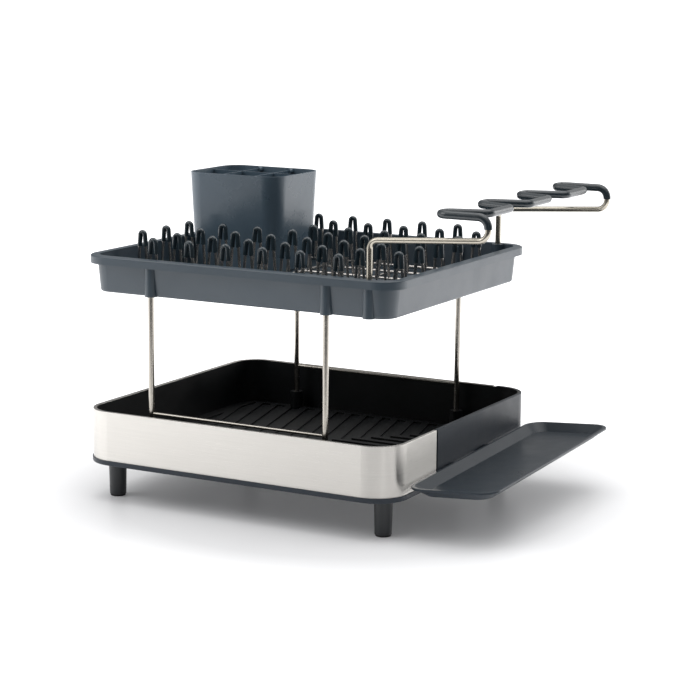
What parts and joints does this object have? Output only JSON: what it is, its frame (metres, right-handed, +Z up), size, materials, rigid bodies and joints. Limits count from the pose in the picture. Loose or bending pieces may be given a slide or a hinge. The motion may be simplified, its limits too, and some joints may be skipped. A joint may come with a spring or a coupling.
{
  "type": "dish drying rack",
  "caption": "Two-tier dish drying rack: steel-banded tub on feet, wire legs, upper tray with plate prongs, cutlery caddy, slotted stemware rail and a hook-on drip tray.",
  "frame": {"origin": "on the floor, at the bottom centre of the whole rack with its drip tray and stemware rail (the lower tub centre is 46.7 mm towards -X of it)", "axes": "+X towards the side with the drip tray and stemware rail, +Y from the front to the back, +Z up"},
  "size_m": [0.4584, 0.334, 0.3249],
  "materials": {
    "tub_plastic": "fine-textured dark slate moulded plastic",
    "band_steel": "horizontally brushed stainless steel sheet, warm tint",
    "foot_plastic": "dark slate moulded plastic",
    "foot_rubber": "soft non-slip rubber",
    "screw_steel": "plain steel screw",
    "leg_wire": "satin stainless wire",
    "rack_wire": "satin stainless wire",
    "cap_rubber": "dipped slate coating, soft sheen",
    "tray_plastic": "fine-textured slate grey moulded plastic",
    "caddy_plastic": "fine-textured slate grey moulded plastic",
    "stem_wire": "satin stainless wire",
    "grip_rubber": "dipped slate coating, soft sheen",
    "drip_plastic": "smooth dark slate moulded plastic, soft sheen",
    "spout_plastic": "dark slate moulded plastic"
  },
  "bodies": {
    "base": {"lower_tub": "tub_plastic", "steel_band": "band_steel", "foot_front_left": "foot_plastic", "foot_front_right": "foot_plastic", "foot_rear_left": "foot_plastic", "foot_rear_right": "foot_plastic", "foot_pads": "foot_rubber", "foot_screws": "screw_steel", "leg_frame_front": "leg_wire", "leg_frame_rear": "leg_wire"},
    "tray": {"upper_tray": "tray_plastic"},
    "plate_rack": {"rack_rails": "rack_wire", "rack_row_1": "rack_wire", "rack_row_2": "rack_wire", "rack_row_3": "rack_wire", "rack_row_4": "rack_wire", "rack_row_5": "rack_wire", "rack_row_6": "rack_wire", "rack_row_7": "rack_wire", "rack_caps_1": "cap_rubber", "rack_caps_2": "cap_rubber", "rack_caps_3": "cap_rubber", "rack_caps_4": "cap_rubber", "rack_caps_5": "cap_rubber", "rack_caps_6": "cap_rubber", "rack_caps_7": "cap_rubber"},
    "cutlery": {"caddy": "caddy_plastic", "caddy_insert": "caddy_plastic"},
    "stemware": {"stemware_wire": "stem_wire", "stemware_grip": "grip_rubber"},
    "drip": {"drip_tray": "drip_plastic"},
    "spout": {"drain_spout": "spout_plastic", "spout_ring": "spout_plastic"}
  },
  "joints": [
    {"name": "tray_lift", "type": "slide", "parent": "base", "child": "tray", "axis": [0, 0, 1], "range_m": [0, 0.06]},
    {"name": "plate_rack_lift", "type": "slide", "parent": "tray", "child": "plate_rack", "axis": [0, 0, 1], "range_m": [0, 0.08]},
    {"name": "caddy_lift", "type": "slide", "parent": "tray", "child": "cutlery", "axis": [0, 0, 1], "range_m": [0, 0.1]},
    {"name": "stemware_lift", "type": "slide", "parent": "tray", "child": "stemware", "axis": [0, 0, 1], "range_m": [0, 0.05]},
    {"name": "drip_tray_pull", "type": "slide", "parent": "base", "child": "drip", "axis": [0.9976, 0, 0.0698], "range_m": [0, 0.03]},
    {"name": "spout_swivel", "type": "hinge", "parent": "base", "child": "spout", "pos_m": [0.06829, 0.095, 0.04], "axis": [0, 0, 1], "range_deg": [0, 180]}
  ]
}
